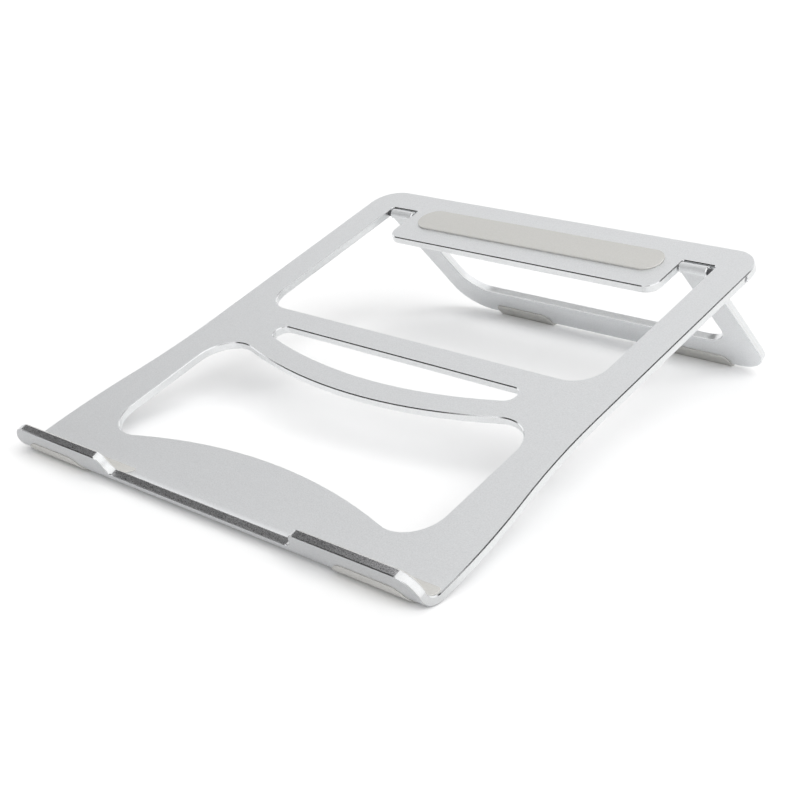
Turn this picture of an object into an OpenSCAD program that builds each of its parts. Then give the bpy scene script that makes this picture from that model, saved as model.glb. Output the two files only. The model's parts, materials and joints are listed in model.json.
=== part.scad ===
// Folding laptop stand: one bent aluminium sheet, a hinged rear leg and silicone pads.
// Platform pieces are drawn flat (X across, Y to the rear from the rear edge at 0, Z up from the
// sheet's top face) and then tilted onto the table by on_table().

/* [Platform] */
// Width across the rear corners
platform_w = 250; // [230:1:280]
// How far each side flares out towards the front
flare_w = 9; // [5:0.5:14]
// Length of the flat part, rear edge to the start of the front bend
flat_l = 255.9; // [250:0.1:275]
// Thickness of the sheet
sheet_t = 4; // [3.5:0.1:5]
// Radius of the rear corners
rear_corner_r = 15.5; // [8:0.5:20]
// Distance from the rear edge to where the sides start to flare
flare_start = 141; // [120:1:150]

/* [Upper window] */
// Width of each side rail beside the upper window
rail_w = 18.2; // [15:0.1:22]
// Distance from the rear edge to the rear wall of the hinge notches
notch_rear = 16.1; // [14:0.1:18]
// Distance from the rear edge to the front edge of the tongue
tongue_front = 43; // [40:0.5:46]
// Radius of the tongue's front corners
tongue_corner_r = 7.5; // [3:0.5:12]
// Radius of the notch corners
notch_corner_r = 1.5; // [0.8:0.1:2]
// Distance from the rear edge to the front edge of the upper window
window_front = 120.9; // [119:0.1:124]
// Radius of the window's front corners
window_corner_r = 15; // [6:0.5:20]

/* [Slot] */
// Distance from the rear edge to the straight rear edge of the slot
slot_rear = 134.2; // [131:0.1:137]
// Depth of the slot at its middle
slot_depth = 20.7; // [17:0.1:23]
// Length of the slot
slot_l = 159; // [140:1:166]
// Radius of the bowed bar in front of the slot
bow_r = 274; // [255:1:320]
// Width of the bowed bar
bow_w = 12.6; // [10:0.1:15]

/* [Lower window] */
// Width of the lower window
low_window_w = 209.6; // [190:0.1:214]
// Distance from the rear edge to the middle of the window's front edge
low_window_front = 223.1; // [215:0.1:228]
// Radius of the window's bowed front edge
low_front_r = 288; // [270:1:330]
// Radius of the window's four corners
low_corner_r = 17.5; // [8:0.5:18]

/* [Front lip] */
// Inside radius of the bend
bend_r = 7; // [5:0.1:9]
// Angle that the lip is bent up by
bend_angle = 82; // [75:1:90]
// Height of the middle of the lip above the bend
lip_h = 0.3; // [0.1:0.1:0.6]
// Height of the hooks above the bend, along the lip
hook_h = 9; // [7:0.1:9.4]
// Width between the two hooks at their tips
hook_gap = 136; // [110:1:150]
// Radius of the S curve from the middle of the lip up to a hook
hook_blend_r = 5; // [4.8:0.1:7]
// Radius of each hook's outer corner
hook_corner_r = 12; // [9.5:0.5:14]

/* [Leg] */
// Thickness of the leg plate
leg_t = 4; // [3.5:0.1:4.5]
// Length from the hinge axis to the leg's bottom edge
leg_l = 93.5; // [85:0.1:94]
// Width of each arm
arm_w = 15.8; // [13:0.1:16]
// Gap between each arm and the tongue
arm_gap = 0.4; // [0.3:0.05:0.6]
// Gap between each arm and its side rail
rail_gap = 2.6; // [2.4:0.1:4]
// Height of the bar across the bottom
bar_h = 24; // [20:0.1:28]
// Inside corner radius of the leg's opening
leg_inner_r = 14.5; // [8:0.5:20]
// Outside corner radius of the leg
leg_outer_r = 20; // [12:0.5:22]
// Angle between the platform and the open leg
open_angle = 116; // [105:0.5:122]
// Gap left between the open leg and its stop
stop_gap = 0.1; // [0.05:0.05:0.3]

/* [Hinge] */
// Gap between the arms' round knuckles and the notch's rear wall
knuckle_gap = 0.65; // [0.4:0.05:0.7]
// Diameter of the hinge pins
pin_d = 2.4; // [2:0.1:2.6]
// Radial clearance of the pins in their bores
pin_fit = 0.05; // [0.03:0.01:0.08]
// How far each pin reaches into the tongue
pin_reach = 6; // [4:0.5:10]
// How far each pin's outer end lies inside the side face
pin_recess = 0.8; // [0.3:0.1:2]
// Outside diameter of the spacers
spacer_d = 3.4; // [3.2:0.1:3.6]
// End play at each side of a spacer
spacer_play = 0.15; // [0.05:0.05:0.3]

/* [Rear pad] */
// Length of the rear pad
rear_pad_l = 159; // [120:1:166]
// Width of the rear pad
rear_pad_w = 17.9; // [12:0.1:20]
// Height of the rear pad above the sheet
rear_pad_t = 1.1; // [0.9:0.1:2.5]
// Distance from the rear edge to the rear pad's centre line
rear_pad_at = 21.95; // [18:0.05:24]

/* [Hook pads] */
// Thickness of the pads inside the hooks
hook_pad_t = 0.6; // [0.4:0.1:1.2]
// How far each hook pad reaches past its hook, towards the middle
hook_pad_over = 15; // [8:0.5:20]
// Distance from the outer end of each hook pad to the side of the lip
hook_pad_side = 1; // [0.5:0.5:5]
// How far the hook pads reach back onto the flat
hook_pad_back = 1.8; // [1.2:0.1:6]
// How far the hook pads climb the hooks above the bend
hook_pad_climb = 5.5; // [3:0.1:6]
// Part of the bend, in degrees, that the ends of the hook pads cover
hook_pad_turn = 26; // [16:1:40]

/* [Feet] */
// Thickness of the front feet
foot_t = 0.6; // [0.5:0.1:1.2]
// Length of each front foot
front_foot_l = 42; // [30:0.5:48]
// Distance from the side of the lip to the outer end of each front foot
front_foot_side = 8; // [5:0.5:16]
// How far the front feet climb the lip above the bend
front_foot_climb = 1.2; // [0.8:0.1:3]
// Radius of the feet's front corners
front_foot_corner_r = 8; // [4:0.5:9]
// How far the front feet reach back under the flat
front_foot_back = 8; // [5:0.5:12]
// Thickness of the leg feet on the faces of the leg
leg_foot_t = 0.7; // [0.5:0.1:1.2]
// Thickness of the leg feet under the leg's bottom edge
leg_foot_sole = 3.2; // [2.6:0.1:3.6]
// Length of each leg foot
leg_foot_l = 39; // [30:0.5:45]
// Distance from the side of the leg to the outer end of each leg foot
leg_foot_side = 24.7; // [21:0.1:32]
// Height that the leg feet reach up the faces of the leg
leg_foot_h = 8.4; // [6:0.1:12]
// Radius of the upper corners of the feet
foot_corner_r = 5; // [2:0.1:6]
// Flat worn onto every foot where it meets the table
foot_flat = 0.25; // [0.1:0.05:0.3]
// Film of glue under each curved pad
glue = 0.05; // [0.03:0.01:0.1]

/* [Hidden] */
$fn = 96;
large_fn = 720;
small_fn = 48;
cut = 1;
// Two arcs that run into each other overlap by this much, so that they cross in a clear point
arc_cross = 0.01;

// A length rounded to a micrometre
function neat(length) = round(1000 * length) / 1000;

// Platform outline
rear_half = platform_w / 2;
front_half = rear_half + flare_w;
window_half = rear_half - rail_w;
arm_outer = window_half - rail_gap;
arm_inner = arm_outer - arm_w;
tongue_half = arm_inner - arm_gap;
flare_l = flat_l - flare_start;
flare_r = neat((flare_l * flare_l + flare_w * flare_w - arc_cross * arc_cross)
    / (4 * (flare_w - arc_cross)));

// Slot and lower window: both edges of the bowed bar share one centre
bow_centre = bow_r - slot_rear - slot_depth;
slot_to_centre = bow_centre + slot_rear;
slot_half = slot_l / 2;
slot_reach = bow_r + arc_cross;
slot_b = slot_reach + slot_to_centre - slot_half;
slot_end_r = neat(sqrt(slot_b * slot_b - slot_half * slot_half
    - slot_to_centre * slot_to_centre + slot_reach * slot_reach) - slot_b);
low_half = low_window_w / 2;
low_rear_r = bow_r + bow_w;
low_front_centre = -low_window_front - low_front_r;
low_corner_x = low_half - low_corner_r;
low_rear_corner_y = neat(bow_centre
    - sqrt(pow(low_rear_r + low_corner_r - arc_cross, 2) - low_corner_x * low_corner_x));
low_front_corner_y = neat(low_front_centre
    + sqrt(pow(low_front_r + low_corner_r - arc_cross, 2) - low_corner_x * low_corner_x));

// Front lip
bend_y = -flat_l;
outer_r = bend_r + sheet_t;
hook_tip_x = hook_gap / 2;
hook_top = hook_h + arc_cross;
blend_fall = 2 * hook_blend_r - (hook_top - lip_h);
blend_run = neat(sqrt(pow(2 * hook_blend_r - arc_cross, 2) - blend_fall * blend_fall));
blend_mid = (lip_h + hook_top) / 2;
hook_corner_fall = hook_corner_r - (hook_top - lip_h);
hook_corner_x = neat(front_half
    - sqrt(hook_corner_r * hook_corner_r - hook_corner_fall * hook_corner_fall));

// Leg: its rear face stops against the lower edge of the notch's rear wall
hinge_from_notch = (leg_t / 2 + stop_gap - sheet_t / 2 * cos(open_angle)) / sin(open_angle);
hinge_y = -notch_rear - hinge_from_notch;
hinge_z = -sheet_t / 2;
leg_turn = open_angle - 180;
pin_bore_r = pin_d / 2 + pin_fit;
knuckle_r = neat(hinge_from_notch - knuckle_gap);

// Feet, and the tilt that puts both pairs of feet on the table
front_foot_r = outer_r + glue + foot_t;
leg_foot_r = leg_t / 2 + glue + leg_foot_t;
leg_foot_round = leg_l + leg_foot_sole - leg_foot_r;
span_y = hinge_y - leg_foot_round * cos(open_angle) - bend_y;
span_z = hinge_z - leg_foot_round * sin(open_angle) - bend_r;
tilt = atan2(-span_z, span_y) + asin((leg_foot_r - front_foot_r) / norm([span_y, span_z]));
lift = front_foot_r - foot_flat - (bend_y * sin(tilt) + bend_r * cos(tilt));
tip_y = bend_y - outer_r * sin(bend_angle) - hook_h * cos(bend_angle);
tip_z = bend_r - outer_r * cos(bend_angle) + hook_h * sin(bend_angle);
front_end = tip_y * cos(tilt) - tip_z * sin(tilt);
rear_end = (span_y + bend_y) * cos(tilt) - (span_z + bend_r) * sin(tilt) + leg_foot_r;
shift_y = -(front_end + rear_end) / 2;
table_size = 2 * (flat_l + platform_w);

// ---- placing -------------------------------------------------------------------------------

// Tilts the flat frame onto the table, with the origin under the middle of the whole stand
module on_table() {
    translate([0, shift_y, lift]) rotate([tilt, 0, 0]) children();
}

// Leg frame: X along the hinge, Y down the leg from the hinge axis, Z through the leg's plate
module on_leg() {
    translate([0, hinge_y, hinge_z]) rotate([leg_turn, 0, 0]) children();
}

// Lip frame at the end of the bend, on the surface of radius r: X across, Y up the lip, Z outwards
module on_lip(r) {
    translate([0, bend_y, bend_r]) rotate([180 - bend_angle, 0, 0])
        translate([0, 0, r]) children();
}

// Extrudes a profile drawn in Y and Z along X, from x0 to x1
module along_x(x0, x1) {
    translate([x0, 0, 0]) rotate([90, 0, 90]) linear_extrude(x1 - x0) children();
}

// side is 1 on the right and -1 on the left
module on_side(side) {
    if (side > 0) children();
    else mirror([1, 0, 0]) children();
}

// Keeps what is above the table
module above_table() {
    intersection() {
        children();
        translate([-table_size / 2, -table_size / 2, 0]) cube(table_size);
    }
}

// ---- flat shapes ---------------------------------------------------------------------------

// Rectangle from [x0, y0] to [x1, y1] with all four corners rounded
module rounded(x0, y0, x1, y1, r) {
    translate([x0 + r, y0]) square([x1 - x0 - 2 * r, y1 - y0]);
    translate([x0, y0 + r]) square([x1 - x0, y1 - y0 - 2 * r]);
    for (x = [x0 + r, x1 - r], y = [y0 + r, y1 - r]) translate([x, y]) circle(r);
}

// One side's flare: two equal arcs that leave the rear width and meet the front width smoothly
module flare() {
    difference() {
        union() {
            translate([0, -flat_l + flare_l / 2]) square([front_half, flare_l / 2]);
            intersection() {
                translate([0, -flat_l]) square([front_half, flare_l / 2]);
                translate([front_half - flare_r, -flat_l]) circle(flare_r, $fn = large_fn);
            }
        }
        translate([rear_half + flare_r, -flare_start]) circle(flare_r, $fn = large_fn);
    }
}

module platform_outline() {
    difference() {
        rounded(-rear_half, -flare_start - 2 * rear_corner_r, rear_half, 0, rear_corner_r);
        translate([-rear_half, -flare_start - 2 * rear_corner_r - cut])
            square([platform_w, 2 * rear_corner_r + cut]);
    }
    flare();
    mirror([1, 0]) flare();
}

// Upper window with the tongue that carries the rear pad; the leg folds into it
module upper_window() {
    root_y = -notch_rear - arm_gap;
    difference() {
        union() {
            rounded(-window_half, -window_front, window_half, -tongue_front, window_corner_r);
            rounded(-window_half, -window_front + 2 * window_corner_r, window_half, -notch_rear,
                notch_corner_r);
        }
        rounded(-tongue_half, -tongue_front, tongue_half, tongue_corner_r, tongue_corner_r);
        for (side = [-1, 1]) {
            difference() {
                translate([side * tongue_half - arm_gap, root_y])
                    square([2 * arm_gap, 2 * arm_gap]);
                translate([side * arm_inner, root_y]) circle(arm_gap);
            }
        }
    }
}

// Slot with a straight rear edge, a bowed front edge and full round ends
module slot() {
    end_x = slot_half - slot_end_r;
    touch_x = end_x * bow_r / (bow_r - slot_end_r);
    intersection() {
        translate([-touch_x, -slot_rear - slot_depth - cut])
            square([2 * touch_x, slot_depth + cut - slot_end_r]);
        translate([0, bow_centre]) circle(bow_r, $fn = large_fn);
    }
    translate([-end_x, -slot_rear - slot_end_r - cut]) square([2 * end_x, slot_end_r + cut]);
    for (side = [-1, 1]) translate([side * end_x, -slot_rear - slot_end_r]) circle(slot_end_r);
}

// One end of the lower window: the space between two corners, less the bowed edge
module low_window_end(corner_y, centre_y, r, way) {
    touch = r / (r + low_corner_r);
    touch_x = low_corner_x * touch;
    touch_y = centre_y + (corner_y - centre_y) * touch;
    difference() {
        translate([-touch_x, way > 0 ? corner_y - cut : touch_y])
            square([2 * touch_x, abs(touch_y - corner_y) + cut]);
        translate([0, centre_y]) circle(r, $fn = large_fn);
    }
    for (side = [-1, 1]) translate([side * low_corner_x, corner_y]) circle(low_corner_r);
}

module lower_window() {
    difference() {
        translate([-low_half, low_front_corner_y])
            square([low_window_w, low_rear_corner_y - low_front_corner_y]);
        translate([0, bow_centre]) circle(low_rear_r, $fn = large_fn);
        translate([0, low_front_centre]) circle(low_front_r, $fn = large_fn);
    }
    low_window_end(low_rear_corner_y, bow_centre, low_rear_r, 1);
    low_window_end(low_front_corner_y, low_front_centre, low_front_r, -1);
}

// Section of a layer that follows the bend between the radii r0 and r1, then runs straight up
// the lip by climb
module lip_section(r0, r1, climb) {
    far = 2 * (r1 + climb);
    translate([bend_y, bend_r]) intersection() {
        difference() {
            union() {
                circle(r1);
                rotate(-90 - bend_angle) translate([0, -far]) square([r1 - arc_cross, far]);
            }
            circle(r0);
            rotate(-90 - bend_angle) translate([-far, -far])
                square([far + r0 - arc_cross, far]);
        }
        translate([-far, -far]) square([far, 2 * far]);
        rotate(-90 - bend_angle) translate([-far, -climb]) square([2 * far, 2 * far]);
    }
}

// What is cut from the lip, seen square on: the gap between the hooks, with an S curve up to
// each, and the hooks' outer corners
module lip_cuts() {
    foot_x = hook_tip_x - blend_run;
    translate([-foot_x, lip_h]) square([2 * foot_x, hook_h - lip_h + cut]);
    for (side = [-1, 1]) {
        translate([side * foot_x, lip_h + hook_blend_r]) circle(hook_blend_r);
        difference() {
            translate([side > 0 ? 0 : -hook_tip_x, blend_mid])
                square([hook_tip_x, hook_h - blend_mid + cut]);
            translate([side * hook_tip_x, hook_top - hook_blend_r]) circle(hook_blend_r);
        }
        difference() {
            translate([side > 0 ? hook_corner_x : -front_half - cut, 0])
                square([front_half - hook_corner_x + cut, hook_h + cut]);
            translate([side * hook_corner_x, hook_top - hook_corner_r]) circle(hook_corner_r);
        }
    }
}

module leg_outline() {
    difference() {
        rounded(-arm_outer, -2 * leg_outer_r, arm_outer, leg_l, leg_outer_r);
        translate([-arm_outer - cut, -2 * leg_outer_r - cut])
            square([2 * (arm_outer + cut), 2 * leg_outer_r + cut]);
        rounded(-arm_inner, -2 * leg_inner_r - cut, arm_inner, leg_l - bar_h, leg_inner_r);
    }
}

// ---- sub-parts -----------------------------------------------------------------------------

// The bent sheet: platform, windows, front lip and hooks
module top_plate() {
    color("silver") on_table() difference() {
        union() {
            translate([0, 0, -sheet_t]) linear_extrude(sheet_t) difference() {
                platform_outline();
                upper_window();
                slot();
                lower_window();
            }
            along_x(-front_half, front_half) lip_section(bend_r, outer_r, hook_h);
        }
        on_lip(bend_r) translate([0, 0, -cut]) linear_extrude(sheet_t + 2 * cut) lip_cuts();
        for (side = [-1, 1]) on_side(side) translate([0, hinge_y, hinge_z])
            rotate([0, 90, 0]) translate([0, 0, tongue_half - pin_reach])
                cylinder(r = pin_bore_r, h = rear_half - tongue_half + pin_reach + cut,
                    $fn = small_fn);
    }
}

// The rear leg: two arms with round knuckles on the pins, and a bar across the bottom
module rear_leg() {
    color("silver") on_table() on_leg() difference() {
        union() {
            translate([0, 0, -leg_t / 2]) linear_extrude(leg_t) leg_outline();
            for (side = [-1, 1]) on_side(side) translate([arm_inner, 0, 0])
                rotate([0, 90, 0]) cylinder(r = knuckle_r, h = arm_w);
        }
        rotate([0, 90, 0])
            cylinder(r = pin_bore_r, h = 2 * (arm_outer + cut), center = true, $fn = small_fn);
    }
}

module hinge_pin(side) {
    color("gray") on_table() on_side(side) translate([0, hinge_y, hinge_z])
        rotate([0, 90, 0]) translate([0, 0, tongue_half - pin_reach + pin_fit])
            cylinder(d = pin_d, h = rear_half - pin_recess - tongue_half + pin_reach - pin_fit,
                $fn = small_fn);
}

// Nylon bush that fills the gap between an arm and its rail
module hinge_spacer(side) {
    color("dimgray") on_table() on_side(side)
        translate([arm_outer + spacer_play, hinge_y, hinge_z]) rotate([0, 90, 0]) difference() {
            cylinder(d = spacer_d, h = rail_gap - 2 * spacer_play, $fn = small_fn);
            translate([0, 0, -cut]) cylinder(r = pin_bore_r, h = rail_gap + cut, $fn = small_fn);
        }
}

module rear_pad() {
    end_x = (rear_pad_l - rear_pad_w) / 2;
    color("gainsboro") on_table() translate([0, -rear_pad_at, 0]) linear_extrude(rear_pad_t) {
        square([2 * end_x, rear_pad_w], center = true);
        for (side = [-1, 1]) translate([side * end_x, 0]) circle(d = rear_pad_w);
    }
}

// Pad in the crook of a hook: a foot strip with round ends, and a wall part behind the hook
module hook_pad(side) {
    outside = bend_r - glue;
    inside = outside - hook_pad_t;
    start_x = hook_tip_x - hook_pad_over;
    end_x = front_half - hook_pad_side;
    wall_end = hook_corner_x - hook_pad_side;
    strip_y = neat(bend_y - outside * sin(hook_pad_turn));
    end_r = neat((bend_y + hook_pad_back - strip_y) / 2 - glue);
    color("gainsboro") on_table() on_side(side) intersection() {
        along_x(start_x - cut, end_x + cut) {
            lip_section(inside, outside, hook_pad_climb);
            translate([bend_y, glue]) square([hook_pad_back + cut, hook_pad_t]);
        }
        linear_extrude(bend_r + hook_h) {
            rounded(start_x, strip_y, end_x, bend_y + hook_pad_back, end_r);
            translate([hook_tip_x, strip_y - 2 * bend_r])
                square([wall_end - hook_tip_x, 2 * bend_r + end_r]);
        }
    }
}

// Foot wrapped around the outside of the bend under a hook, with a flat where it stands
module front_foot(side) {
    inside = outer_r + glue;
    start_x = front_half - front_foot_side - front_foot_l;
    top_z = neat(bend_r - inside * cos(bend_angle) + front_foot_climb);
    color("gainsboro") above_table() on_table() on_side(side) intersection() {
        along_x(start_x - cut, start_x + front_foot_l + cut) {
            lip_section(inside, front_foot_r, 2 * front_foot_climb);
            translate([bend_y, bend_r - front_foot_r]) square([front_foot_back, foot_t]);
        }
        translate([0, bend_y + front_foot_back + cut, 0]) rotate([90, 0, 0])
            linear_extrude(front_foot_back + 2 * front_foot_r + cut)
                rounded(start_x, -2 * front_foot_r, start_x + front_foot_l, top_z,
                    front_foot_corner_r);
    }
}

// Cap pushed over the leg's bottom edge, with a round sole and a flat where it stands
module leg_foot(side) {
    start_x = arm_outer - leg_foot_side - leg_foot_l;
    top = leg_l - leg_foot_h;
    color("gainsboro") above_table() on_table() on_leg() on_side(side) difference() {
        intersection() {
            union() {
                translate([start_x - cut, top - cut, -leg_foot_r])
                    cube([leg_foot_l + 2 * cut, leg_foot_round - top + cut, 2 * leg_foot_r]);
                translate([start_x - cut, leg_foot_round, 0]) rotate([0, 90, 0])
                    cylinder(r = leg_foot_r, h = leg_foot_l + 2 * cut);
            }
            translate([0, 0, -leg_foot_r - cut]) linear_extrude(2 * (leg_foot_r + cut))
                rounded(start_x, top, start_x + leg_foot_l, leg_l + leg_foot_h, foot_corner_r);
        }
        translate([start_x - cut, top - cut, -leg_t / 2 - glue])
            cube([leg_foot_l + 2 * cut, leg_foot_h + cut + glue, leg_t + 2 * glue]);
    }
}

top_plate();
rear_leg();
hinge_pin(-1);  // hinge_pin_left
hinge_pin(1);  // hinge_pin_right
hinge_spacer(-1);  // hinge_spacer_left
hinge_spacer(1);  // hinge_spacer_right
rear_pad();
hook_pad(-1);  // hook_pad_left
hook_pad(1);  // hook_pad_right
front_foot(-1);  // front_foot_left
front_foot(1);  // front_foot_right
leg_foot(-1);  // leg_foot_left
leg_foot(1);  // leg_foot_right
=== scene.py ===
# %% [markdown]
# # A folding laptop stand
# The stand is one bent sheet of aluminium with three windows cut in it, a U-shaped leg on two
# hinge pins, and silicone wherever it meets the table or the computer. The solids come ready
# from the construction model. This file gives them their finish: a blasted and anodised skin,
# machined edges with bright chamfers, soft pads, a floor, light and a camera.

# %% Load the solids
import json
import math

import bmesh
import bpy
from mathutils import Matrix, Vector


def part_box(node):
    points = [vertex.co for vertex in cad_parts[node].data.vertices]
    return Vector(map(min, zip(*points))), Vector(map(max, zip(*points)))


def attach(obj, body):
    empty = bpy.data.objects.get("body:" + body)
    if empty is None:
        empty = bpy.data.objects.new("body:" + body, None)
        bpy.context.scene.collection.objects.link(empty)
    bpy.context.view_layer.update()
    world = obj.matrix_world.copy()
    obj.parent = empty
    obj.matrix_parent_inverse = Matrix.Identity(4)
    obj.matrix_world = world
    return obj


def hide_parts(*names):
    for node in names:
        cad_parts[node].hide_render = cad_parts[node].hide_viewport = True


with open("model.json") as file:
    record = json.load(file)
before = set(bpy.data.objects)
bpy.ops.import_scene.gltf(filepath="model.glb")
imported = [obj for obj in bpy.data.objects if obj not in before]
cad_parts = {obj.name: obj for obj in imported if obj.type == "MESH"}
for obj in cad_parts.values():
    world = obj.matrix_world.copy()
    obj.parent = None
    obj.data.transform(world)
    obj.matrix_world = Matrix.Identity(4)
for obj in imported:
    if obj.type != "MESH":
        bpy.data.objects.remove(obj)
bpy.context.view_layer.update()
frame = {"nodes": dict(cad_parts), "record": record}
nodes = frame["nodes"]
print("solids:", ", ".join(sorted(nodes)))

# %% [markdown]
# The camera looks down on the stand from the right of its front edge. A long lens keeps the
# sheet's edges nearly parallel. The lens shift puts the stand in the middle of the picture
# without turning the camera.

# %% Camera
CAMERA_AT = Vector((0.50042, -0.52581, 0.28759))
CAMERA_AIM = Vector((0.05498, -0.06540, 0.04))
CAMERA_ROLL = -2.899
CAMERA_LENS = 70.47
CAMERA_SHIFT = (-0.0214, 0.0075)

camera_data = bpy.data.cameras.new("camera")
camera_data.lens = CAMERA_LENS
camera_data.shift_x, camera_data.shift_y = CAMERA_SHIFT
camera = bpy.data.objects.new("camera", camera_data)
bpy.context.collection.objects.link(camera)
look = (CAMERA_AIM - CAMERA_AT).to_track_quat("-Z", "Y").to_matrix()
turn = look @ Matrix.Rotation(math.radians(CAMERA_ROLL), 3, "Z")
camera.matrix_world = Matrix.Translation(CAMERA_AT) @ turn.to_4x4()
bpy.context.scene.camera = camera
bpy.context.scene.view_settings.view_transform = "Standard"
print("camera:", [round(v, 3) for v in camera.location])


# %% [markdown]
# Materials and lights are built from shader nodes. One small helper adds a node and fills in
# its inputs, which keeps each of the trees below to a few readable lines.


# %% A helper for shader nodes
def add_node(tree, kind, inputs=None, **settings):
    """A node of that kind, with its settings and the values of its inputs."""
    node = tree.nodes.new(kind)
    for name, value in settings.items():
        setattr(node, name, value)
    for name, value in (inputs or {}).items():
        node.inputs[name].default_value = value
    return node


print("helper ready")

# %% [markdown]
# Blank metal shows its surroundings more than its own colour. A studio for it has a wide light
# overhead, grey walls, one pale card beside the camera and a few black ones. The flat sheet,
# which is rough, blurs them all to one soft grey. The narrow chamfers are nearly mirrors: those
# that look at a light turn white, those that look at a black card turn dark, and that is what
# makes them read as edges. The world works all of it out from the direction of each ray. First
# comes the room itself, whose brightness only changes with height.

# %% The room
SKY_STEPS = [(0.0, 0.66), (0.25, 0.72), (0.5, 0.68), (0.65, 0.45), (0.8, 0.32), (0.88, 0.67)]
SKY_STRENGTH = 1.55
world = bpy.data.worlds.new("studio")
bpy.context.scene.world = world
world.use_nodes = True
tree = world.node_tree
tree.nodes.clear()
where = add_node(tree, "ShaderNodeTexCoord")
split = add_node(tree, "ShaderNodeSeparateXYZ")
ramp = add_node(tree, "ShaderNodeValToRGB")
while len(ramp.color_ramp.elements) < len(SKY_STEPS):
    ramp.color_ramp.elements.new(0.5)
for element, (height, level) in zip(ramp.color_ramp.elements, SKY_STEPS):
    element.position = height
    element.color = (level, level, level, 1)
sky = add_node(tree, "ShaderNodeMath", {1: SKY_STRENGTH}, operation="MULTIPLY")
tree.links.new(where.outputs["Generated"], split.inputs[0])
tree.links.new(split.outputs["Z"], ramp.inputs["Fac"])
tree.links.new(ramp.outputs["Color"], sky.inputs[0])
print("room with", len(SKY_STEPS), "levels")

# %% [markdown]
# The cards come one after another. Each replaces what is behind it, and its rim is soft, from
# a little inside its half angle to a little outside.

# %% The cards
# azimuth, height and half angle in degrees, then how bright the card is
CARDS = [
    (-18, 42, 30, 1.15),
    (180, 38, 17, 0.03),
    (-134, 18, 22, 0.04),
    (38, 38, 10, 0.05),
]
RIM_OUTSIDE, RIM_INSIDE = 1.2, 0.8


def direction(azimuth, height):
    """The direction of that azimuth and height over the floor, both in radians."""
    level_part = math.cos(height)
    return (math.cos(azimuth) * level_part, math.sin(azimuth) * level_part, math.sin(height))


level = sky.outputs[0]
for *angles, brightness in CARDS:
    azimuth, height, half_angle = (math.radians(v) for v in angles)
    aim = direction(azimuth, height)
    toward = add_node(tree, "ShaderNodeVectorMath", {1: aim}, operation="DOT_PRODUCT")
    inside = add_node(
        tree, "ShaderNodeMapRange",
        {
            "From Min": math.cos(half_angle * RIM_OUTSIDE),
            "From Max": math.cos(half_angle * RIM_INSIDE),
        },
        interpolation_type="SMOOTHSTEP",
    )
    card = add_node(tree, "ShaderNodeMix", {"B": brightness}, data_type="FLOAT")
    tree.links.new(where.outputs["Generated"], toward.inputs[0])
    tree.links.new(toward.outputs["Value"], inside.inputs["Value"])
    tree.links.new(inside.outputs["Result"], card.inputs["Factor"])
    tree.links.new(level, card.inputs["A"])
    level = card.outputs["Result"]
print("studio with", len(CARDS), "cards")

# %% [markdown]
# Only rays that come straight from the camera see plain white instead of the studio. The metal
# goes on reflecting the studio, so it does not show the white that stands behind it.

# %% White for the camera
light = add_node(tree, "ShaderNodeBackground", {"Color": (1, 1, 1, 1)})
white = add_node(tree, "ShaderNodeBackground", {"Color": (1, 1, 1, 1), "Strength": 1.0})
path = add_node(tree, "ShaderNodeLightPath")
choose = add_node(tree, "ShaderNodeMixShader")
out = add_node(tree, "ShaderNodeOutputWorld")
tree.links.new(level, light.inputs["Strength"])
tree.links.new(path.outputs["Is Camera Ray"], choose.inputs["Fac"])
tree.links.new(light.outputs[0], choose.inputs[1])
tree.links.new(white.outputs[0], choose.inputs[2])
tree.links.new(choose.outputs[0], out.inputs["Surface"])
print("white behind the stand, for the camera only")

# %% [markdown]
# A light strong enough to throw the stand's shadow on the floor would burn out wherever the
# metal reflects it. So the card beside the camera is only a little brighter than white, and a
# broad lamp in the same direction adds the light that casts the shadow. Reflections don't see
# the lamp, which no real lamp could do: it lights the floor and the silicone, and not the metal.

# %% The lamp that casts the shadow
LAMP_ENERGY = 1.55
LAMP_SPREAD = math.radians(50)
LAMP_AZIMUTH, LAMP_HEIGHT = CARDS[0][:2]
lamp_light = bpy.data.lights.new("shadow_lamp", "SUN")
lamp_light.energy = LAMP_ENERGY
lamp_light.angle = LAMP_SPREAD
lamp = bpy.data.objects.new("shadow_lamp", lamp_light)
bpy.context.collection.objects.link(lamp)
lamp.rotation_euler = (0, math.radians(90 - LAMP_HEIGHT), math.radians(LAMP_AZIMUTH))
lamp.visible_glossy = False
print("lamp spread", round(math.degrees(LAMP_SPREAD)), "degrees")

# %% [markdown]
# The floor is plain and white. Most of its brightness is light that falls on it, so the stand
# casts its soft shadow there. A little is its own, and only rays that come straight from the
# camera see it, so the white lights nothing from below. Reflections are shown a darker floor
# than the camera is, which is painted shade, and a darker one still in front of the stand,
# where the outer faces of the hooks look, which is a painted shadow of the stand. No real floor
# does that. It is an aid that keeps those faces from turning as white as the floor.

# %% Floor
FLOOR_ALBEDO = 0.88
# Painted shade: reflections see the floor darker than the camera does, and darker still in front of
# the stand, where a painted shadow of the stand lies.
ALBEDO_IN_METAL = 0.80
FLOOR_OWN_LIGHT = 0.05
FRONT_SHADOW_SPAN = (-0.16, -0.10)
FRONT_SHADOW_LEVEL = 0.66
FLOOR_RADIUS = 6.0
bm = bmesh.new()
bmesh.ops.create_circle(bm, cap_ends=True, segments=96, radius=FLOOR_RADIUS)
floor_mesh = bpy.data.meshes.new("floor")
bm.to_mesh(floor_mesh)
bm.free()
floor = bpy.data.objects.new("floor", floor_mesh)
bpy.context.collection.objects.link(floor)
floor_paint = bpy.data.materials.new("floor_white")
floor_paint.use_nodes = True
tree = floor_paint.node_tree
tree.nodes.clear()
path = add_node(tree, "ShaderNodeLightPath")
level = add_node(tree, "ShaderNodeMath", {1: FLOOR_OWN_LIGHT}, operation="MULTIPLY")
place = add_node(tree, "ShaderNodeTexCoord")
axes = add_node(tree, "ShaderNodeSeparateXYZ")
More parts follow.
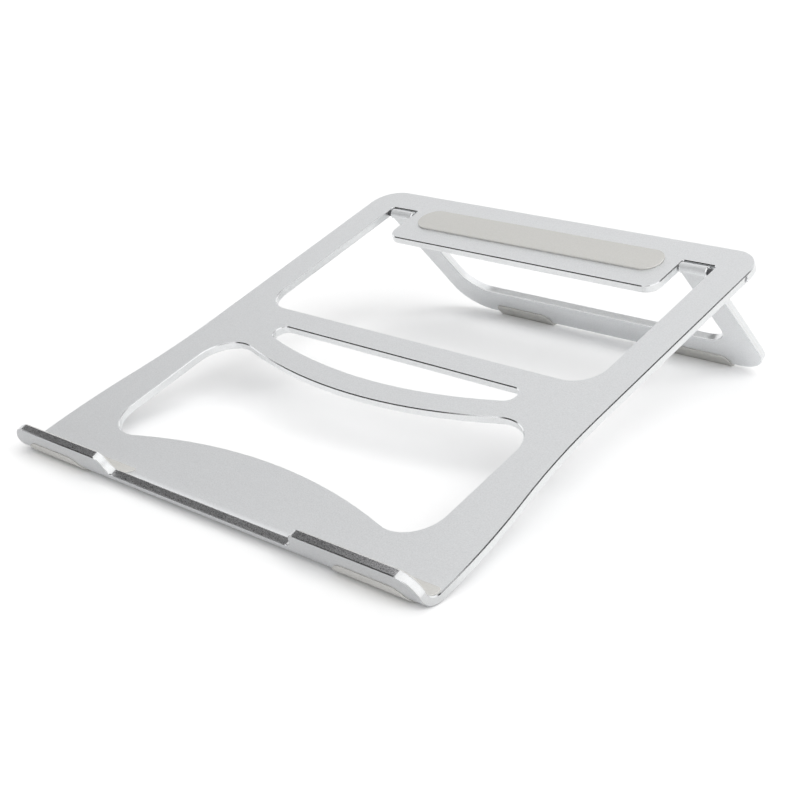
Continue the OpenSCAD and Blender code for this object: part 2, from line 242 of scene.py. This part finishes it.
# The painted shadow in front of the stand, which only reflections see.
painted_front_shadow = add_node(
    tree, "ShaderNodeMapRange",
    {
        "From Min": FRONT_SHADOW_SPAN[0],
        "From Max": FRONT_SHADOW_SPAN[1],
        "To Min": FRONT_SHADOW_LEVEL * ALBEDO_IN_METAL,
        "To Max": ALBEDO_IN_METAL,
    },
    interpolation_type="SMOOTHSTEP",
)
shade = add_node(tree, "ShaderNodeMix", {"A": FLOOR_ALBEDO}, data_type="FLOAT")
matt = add_node(tree, "ShaderNodeBsdfDiffuse")
own = add_node(tree, "ShaderNodeEmission", {"Color": (1, 1, 1, 1)})
both = add_node(tree, "ShaderNodeAddShader")
out = add_node(tree, "ShaderNodeOutputMaterial")
tree.links.new(place.outputs["Object"], axes.inputs[0])
tree.links.new(axes.outputs["Y"], painted_front_shadow.inputs["Value"])
tree.links.new(path.outputs["Is Glossy Ray"], shade.inputs["Factor"])
tree.links.new(painted_front_shadow.outputs["Result"], shade.inputs["B"])
tree.links.new(shade.outputs["Result"], matt.inputs["Color"])
tree.links.new(path.outputs["Is Camera Ray"], level.inputs[0])
tree.links.new(level.outputs[0], own.inputs["Strength"])
tree.links.new(matt.outputs[0], both.inputs[0])
tree.links.new(own.outputs[0], both.inputs[1])
tree.links.new(both.outputs[0], out.inputs["Surface"])
floor_mesh.materials.append(floor_paint)
print("floor radius", FLOOR_RADIUS, "m")

# %% [markdown]
# All the finishes share one effect, a fine grain: on the blasted skin it stands for the dents
# of the beads, on the edges for the marks of the cut, on the silicone for the texture of its
# mould. The effect is a node group that is built once. It turns a fine noise into a colour, a
# roughness and a height for the bumps.


# %% Grain as a node group
def build_grain():
    """The group that turns a fine noise into a colour, a roughness and a height."""
    group = bpy.data.node_groups.new("grain", "ShaderNodeTree")
    face = group.interface
    face.new_socket("Grains per metre", in_out="INPUT", socket_type="NodeSocketFloat")
    face.new_socket("Darkest", in_out="INPUT", socket_type="NodeSocketColor")
    face.new_socket("Lightest", in_out="INPUT", socket_type="NodeSocketColor")
    face.new_socket("Smoothest", in_out="INPUT", socket_type="NodeSocketFloat")
    face.new_socket("Roughest", in_out="INPUT", socket_type="NodeSocketFloat")
    face.new_socket("Color", in_out="OUTPUT", socket_type="NodeSocketColor")
    face.new_socket("Roughness", in_out="OUTPUT", socket_type="NodeSocketFloat")
    face.new_socket("Height", in_out="OUTPUT", socket_type="NodeSocketFloat")
    given = group.nodes.new("NodeGroupInput")
    made = group.nodes.new("NodeGroupOutput")
    where = add_node(group, "ShaderNodeTexCoord")
    noise = add_node(group, "ShaderNodeTexNoise", {"Detail": 2.0, "Roughness": 0.6})
    spread = add_node(group, "ShaderNodeMapRange", {"From Min": 0.3, "From Max": 0.7})
    tone = add_node(group, "ShaderNodeMix", data_type="RGBA")
    rough = add_node(group, "ShaderNodeMapRange")
    group.links.new(where.outputs["Object"], noise.inputs["Vector"])
    group.links.new(given.outputs["Grains per metre"], noise.inputs["Scale"])
    group.links.new(noise.outputs["Fac"], spread.inputs["Value"])
    group.links.new(spread.outputs["Result"], tone.inputs["Factor"])
    group.links.new(given.outputs["Darkest"], tone.inputs["A"])
    group.links.new(given.outputs["Lightest"], tone.inputs["B"])
    group.links.new(spread.outputs["Result"], rough.inputs["Value"])
    group.links.new(given.outputs["Smoothest"], rough.inputs["To Min"])
    group.links.new(given.outputs["Roughest"], rough.inputs["To Max"])
    group.links.new(tone.outputs["Result"], made.inputs["Color"])
    group.links.new(rough.outputs["Result"], made.inputs["Roughness"])
    group.links.new(spread.outputs["Result"], made.inputs["Height"])
    return group


grain = build_grain()
print("group:", grain.name)

# %% [markdown]
# The sheet looks bead-blasted and anodised clear, which leaves a satin grey. Its edges look
# machined, finer and glossier, and the chamfers are nearly polished. How the real ones were made
# is a guess from their shine. Silicone is matt and a little warm.


# %% Materials
def finish(name, dark, light, smooth, rough, metallic, grain_size, bump_depth):
    """A material whose colour, roughness and bumps all come from one fine grain."""
    paint = bpy.data.materials.new(name)
    paint.use_nodes = True
    tree = paint.node_tree
    shader = tree.nodes["Principled BSDF"]
    shader.inputs["Metallic"].default_value = metallic
    texture = add_node(tree, "ShaderNodeGroup", node_tree=grain)
    texture.inputs["Grains per metre"].default_value = 1 / grain_size
    texture.inputs["Darkest"].default_value = (*dark, 1)
    texture.inputs["Lightest"].default_value = (*light, 1)
    texture.inputs["Smoothest"].default_value = smooth
    texture.inputs["Roughest"].default_value = rough
    bump = add_node(tree, "ShaderNodeBump", {"Strength": 0.5, "Distance": bump_depth})
    tree.links.new(texture.outputs["Color"], shader.inputs["Base Color"])
    tree.links.new(texture.outputs["Roughness"], shader.inputs["Roughness"])
    tree.links.new(texture.outputs["Height"], bump.inputs["Height"])
    tree.links.new(bump.outputs["Normal"], shader.inputs["Normal"])
    return paint


blasted = finish(
    "blasted_aluminium", (0.84, 0.85, 0.86), (0.94, 0.95, 0.96), 0.50, 0.62, 1.0, 0.0006, 0.00004
)
cut_edge = finish(
    "machined_edge", (0.84, 0.85, 0.86), (0.96, 0.97, 0.97), 0.28, 0.46, 1.0, 0.0004, 0.00003
)
# For the upper rims of the hooks and lip: a speckled grain, made dark as a painted reflection of
# the dark studio they face.
speckled_edge_painted_reflection = finish(
    "speckled_edge_painted_reflection", (0.22, 0.22, 0.23), (0.66, 0.66, 0.67), 0.24, 0.44, 1.0, 0.00045, 0.00004
)
chamfer = finish(
    "polished_chamfer", (0.84, 0.85, 0.86), (0.88, 0.89, 0.90), 0.10, 0.18, 1.0, 0.0004, 0.000004
)
steel = finish(
    "pin_steel", (0.40, 0.40, 0.41), (0.50, 0.50, 0.51), 0.25, 0.40, 1.0, 0.0003, 0.00001
)
nylon = finish(
    "bush_nylon", (0.05, 0.05, 0.055), (0.07, 0.07, 0.075), 0.45, 0.60, 0.0, 0.0005, 0.00001
)
silicone = finish(
    "pad_silicone", (0.475, 0.47, 0.45), (0.535, 0.53, 0.51), 0.55, 0.70, 0.0, 0.0006, 0.00002
)
print("materials:", [m.name for m in bpy.data.materials])

# %% [markdown]
# Several steps need to know how the sheet lies in space. The record says which way the plane
# faces on which the computer rests, and that plane is parallel to the flat of the sheet. The
# middle of the rear pad fixes the rest. Together they give a frame in which the sheet lies
# flat: X across, Y to the rear from the rear edge, Z up from the top face.

# %% The sheet's own frame
FLAT_LENGTH = 0.2559
BEND_RADIUS = 0.007
BEND_ANGLE = math.radians(82)
PAD_LINE = 0.02195
PAD_HEIGHT = 0.0011
OPEN_ANGLE = math.radians(116)

rest_plane = next(m for m in frame["record"]["mounts"] if m["name"] == "laptop_rest")
TILT = -math.asin(rest_plane["axis"][1])
tilted = Matrix.Rotation(TILT, 3, "X")
pad_low, pad_high = (Vector(corner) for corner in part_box("rear_pad"))
pad_middle = (pad_low + pad_high) / 2
sheet_origin = pad_middle - tilted @ Vector((0, -PAD_LINE, PAD_HEIGHT / 2))


def to_sheet(point):
    """A point of the stand in the sheet's own frame."""
    return tilted.transposed() @ (Vector(point) - sheet_origin)


def from_sheet(x, y, z):
    """A point of the sheet's own frame in the stand."""
    return tilted @ Vector((x, y, z)) + sheet_origin


print("tilt", round(math.degrees(TILT), 2), "rear edge at", sheet_origin[:])

# %% [markdown]
# Along the front the sheet bends up. A layer on its inner side is easiest to draw unrolled,
# by its distance across the stand, its distance along the sheet from the start of the bend,
# and its height over the metal. The function below rolls such a point up: flat behind the
# bend, round the bend, and straight up the lip.


# %% Rolling up a layer
def roll_up(across, along, height):
    """A point of the unrolled inner side, brought to its place in the stand."""
    turn = min(max(along / BEND_RADIUS, 0), BEND_ANGLE)
    straight = max(along - BEND_ANGLE * BEND_RADIUS, 0)
    back = max(-along, 0)
    reach = BEND_RADIUS - height
    y = -FLAT_LENGTH + back - reach * math.sin(turn) - straight * math.cos(turn)
    z = BEND_RADIUS - reach * math.cos(turn) + straight * math.sin(turn)
    return from_sheet(across, y, z)


print("lip starts", round(1000 * BEND_ANGLE * BEND_RADIUS, 2), "mm along the sheet")

# %% [markdown]
# The sheet has a small chamfer along its edges, which is what catches the light there. Its
# width is a guess, because it is hardly wider than a line. Each metal solid is copied, its loose
# triangles are joined into whole faces, and a bevel of one segment goes along every sharp outer
# edge.

# %% Chamfered copies of the metal solids
CHAMFER = 0.00042
SHARP = math.radians(30)
SAME_POINT = 1e-6
SAME_PLANE = math.radians(0.2)
SMOOTH_BELOW = math.radians(25)
BLASTED, CUT, POLISHED, SPECKLED_PAINTED_REFLECTION = 0, 1, 2, 3


def merged_copy(node):
    """A copy of a solid with its loose triangles joined up, as a bmesh."""
    bm = bmesh.new()
    bm.from_mesh(nodes[node].data)
    bmesh.ops.remove_doubles(bm, verts=bm.verts, dist=SAME_POINT)
    bmesh.ops.dissolve_limit(bm, angle_limit=SAME_PLANE, verts=bm.verts, edges=bm.edges)
    bmesh.ops.recalc_face_normals(bm, faces=bm.faces)
    return bm


def outer_edges(bm):
    """The sharp edges at which two faces meet like the sides of a box."""
    return [
        e for e in bm.edges
        if len(e.link_faces) == 2 and e.calc_face_angle() > SHARP and e.is_convex
    ]


def add_piece(bm, name, node, body, finishes):
    """A finished piece from a bmesh: it rides on its body and stands for its node."""
    mesh = bpy.data.meshes.new(name)
    bm.to_mesh(mesh)
    bm.free()
    mesh.shade_smooth()
    mesh.set_sharp_from_angle(angle=SMOOTH_BELOW)
    for paint in finishes:
        mesh.materials.append(paint)
    piece = bpy.data.objects.new(name, mesh)
    bpy.context.collection.objects.link(piece)
    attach(piece, body)
    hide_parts(node)
    print(name, len(mesh.polygons), "faces")
    return piece


def chamfered(node, body, finish_at):
    """The metal solid with polished chamfers; finish_at names the finish of all its other faces."""
    bm = merged_copy(node)
    cut = bmesh.ops.bevel(
        bm, geom=outer_edges(bm), offset=CHAMFER, offset_type="OFFSET", affect="EDGES",
        segments=1, profile=0.5, material=-1, clamp_overlap=False, loop_slide=True,
    )
    chamfers = set(cut["faces"])
    for face in bm.faces:
        if face in chamfers:
            face.material_index = POLISHED
        else:
            face.material_index = finish_at(face.calc_center_median(), face.normal)
    finishes = (blasted, cut_edge, chamfer, speckled_edge_painted_reflection)
    return add_piece(bm, node + "_metal", node, body, finishes)


print("chamfer", 1000 * CHAMFER, "mm")

# %% [markdown]
# The blasted skin is what was the surface of the sheet, on the flat, round the bend and up the
# lip. The walls between its two sides were cut. A face belongs to the skin if it looks along
# the sheet's own up direction at that place, which turns with the bend. The upper rims of the
# hooks and of the lip between them take a finish of their own, speckled and dark: the speckle
# is the grain of the cut, and the darkness is a painted reflection of the dark studio they look
# into. The S-shaped cuts between them look bright and keep the machined one.


# %% The platform
FACING = 0.6
RIM_UPWARD = 0.5
RIM_SIDEWAYS = 0.2


def sheet_finish(centre, normal):
    """The finish of a face of the platform, from its middle and the way it looks."""
    place = to_sheet(centre)
    up = Vector((0, 0, 1))
    if place.y < -FLAT_LENGTH:
        turn = math.atan2(-FLAT_LENGTH - place.y, BEND_RADIUS - place.z)
        up = Matrix.Rotation(-min(turn, BEND_ANGLE), 3, "X") @ up
    if abs((tilted @ up).dot(normal)) > FACING:
        return BLASTED
    # The upper rims of the lip and hooks get the finish whose darkness is a painted reflection.
    on_rim = normal.z > RIM_UPWARD and abs(normal.x) < RIM_SIDEWAYS
    return SPECKLED_PAINTED_REFLECTION if on_rim and place.y < -FLAT_LENGTH else CUT


chamfered("top_plate", "platform", sheet_finish)

# %% [markdown]
# The leg is cut from a flat sheet, so its skin is simply the two sides of that sheet. The round
# knuckles on the hinge pins take the same finish.

# %% The leg
KNUCKLE = 0.0031
leg_side = Matrix.Rotation(TILT + OPEN_ANGLE - math.pi, 3, "X") @ Vector((0, 0, 1))
hinge = frame["record"]["behaviour"]["joints"][0]["pos_m"]


def leg_finish(centre, normal):
    """The finish of a face of the leg, from its middle and the way it looks."""
    beside_pin = math.hypot(centre.y - hinge[1], centre.z - hinge[2]) < KNUCKLE
    on_side = beside_pin or abs(normal.dot(leg_side)) > FACING
    return BLASTED if on_side and abs(normal.x) <= FACING else CUT


chamfered("rear_leg", "leg", leg_finish)

# %% [markdown]
# The soft parts look like silicone, and a moulded part has no sharp edges. Each solid is copied
# and its outer edges are rounded with a bevel of several segments. The radius stays below half
# of the part's thickness.


# %% Rounded silicone parts
def rounded(node, body, radius, segments):
    """The soft solid with its outer edges rounded."""
    bm = merged_copy(node)
    bmesh.ops.bevel(
        bm, geom=outer_edges(bm), offset=radius, offset_type="OFFSET", affect="EDGES",
        segments=segments, profile=0.5, material=-1, clamp_overlap=True, loop_slide=True,
    )
    return add_piece(bm, node + "_soft", node, body, (silicone,))


rounded("rear_pad", "platform", 0.00035, 4)
for side in ("left", "right"):
    rounded("front_foot_" + side, "platform", 0.0002, 2)
    rounded("leg_foot_" + side, "leg", 0.0002, 2)

# %% [markdown]
# The pads in the hooks are thin sheets with the hook's S-shaped outline, bent into its crook.
# Each starts as a flat outline of six corners, whose corners are then rounded. It is extruded
# to its thickness, its rim is softened, and cuts across it let it bend. Last of all it is
# rolled up.
#
# Two things are still wrong with this piece. About a quarter of each pad lies outside the solid
# that it stands for. And the recalculation after the roll-up turns the faces of a shape as thin
# and curled as this one inwards, where they should point outwards.

# %% The hook pads
HOOK_PAD = 0.0006
GLUE = 0.00005
RIM_RADIUS = 0.00015
BEND_CUTS = 14
LIP = BEND_ANGLE * BEND_RADIUS
HOOK_PAD_CORNERS = [
    # across, along, radius
    (0.0572, -0.0017, 0.0009),
    (0.1330, -0.0017, 0.0015),
    (0.1330, LIP + 0.0080, 0.0095),
    (0.0665, LIP + 0.0080, 0.0042),
    (0.0606, 0.0088, 0.0030),
    (0.0604, 0.0028, 0.0045),
]


def round_corners(bm, corners):
    """Rounds the corners of a flat outline, each to its own radius."""
    for across, along, radius in corners:
        corner = min(bm.verts, key=lambda v: (v.co - Vector((across, along, 0))).length)
        before, after = (e.other_vert(corner).co - corner.co for e in corner.link_edges)
        bmesh.ops.bevel(
            bm, geom=[corner], offset=radius / math.tan(before.angle(after) / 2),
            offset_type="OFFSET", affect="VERTICES", segments=8, profile=0.5, material=-1,
            clamp_overlap=True,
        )


def hook_pad(side, hand):
    """The pad in one hook; hand is 1 for the right one and -1 for its mirror image."""
    bm = bmesh.new()
    outline = [bm.verts.new((across, along, 0)) for across, along, _ in HOOK_PAD_CORNERS]
    bm.faces.new(outline)
    round_corners(bm, HOOK_PAD_CORNERS)
    top = bmesh.ops.extrude_face_region(bm, geom=bm.faces[:])["geom"]
    lifted = [v for v in top if isinstance(v, bmesh.types.BMVert)]
    bmesh.ops.translate(bm, verts=lifted, vec=(0, 0, HOOK_PAD))
    bmesh.ops.recalc_face_normals(bm, faces=bm.faces)
    rim = [e for e in outer_edges(bm) if min(v.co.z for v in e.verts) > HOOK_PAD / 2]
    bmesh.ops.bevel(
        bm, geom=rim, offset=RIM_RADIUS, offset_type="OFFSET", affect="EDGES",
        segments=2, profile=0.5, material=-1, clamp_overlap=True,
    )
    for step in range(BEND_CUTS + 1):
        everything = bm.verts[:] + bm.edges[:] + bm.faces[:]
        place = (0, LIP * step / BEND_CUTS, 0)
        bmesh.ops.bisect_plane(bm, geom=everything, plane_co=place, plane_no=(0, 1, 0))
    for v in bm.verts:
        v.co = roll_up(v.co.x * hand, v.co.y, v.co.z + GLUE)
    bmesh.ops.recalc_face_normals(bm, faces=bm.faces)
    node = "hook_pad_" + side
    return add_piece(bm, node + "_soft", node, "platform", (silicone,))


hook_pad("right", 1)
hook_pad("left", -1)

# %% [markdown]
# The pins and their bushes keep their solids and only take a finish.

# %% Finishes for the hinge parts
for node, paint in (("hinge_pin_", steel), ("hinge_spacer_", nylon)):
    for side in ("left", "right"):
        thing = nodes[node + side]
        thing.data.materials.clear()
        thing.data.materials.append(paint)
print("finished 4 hinge parts")
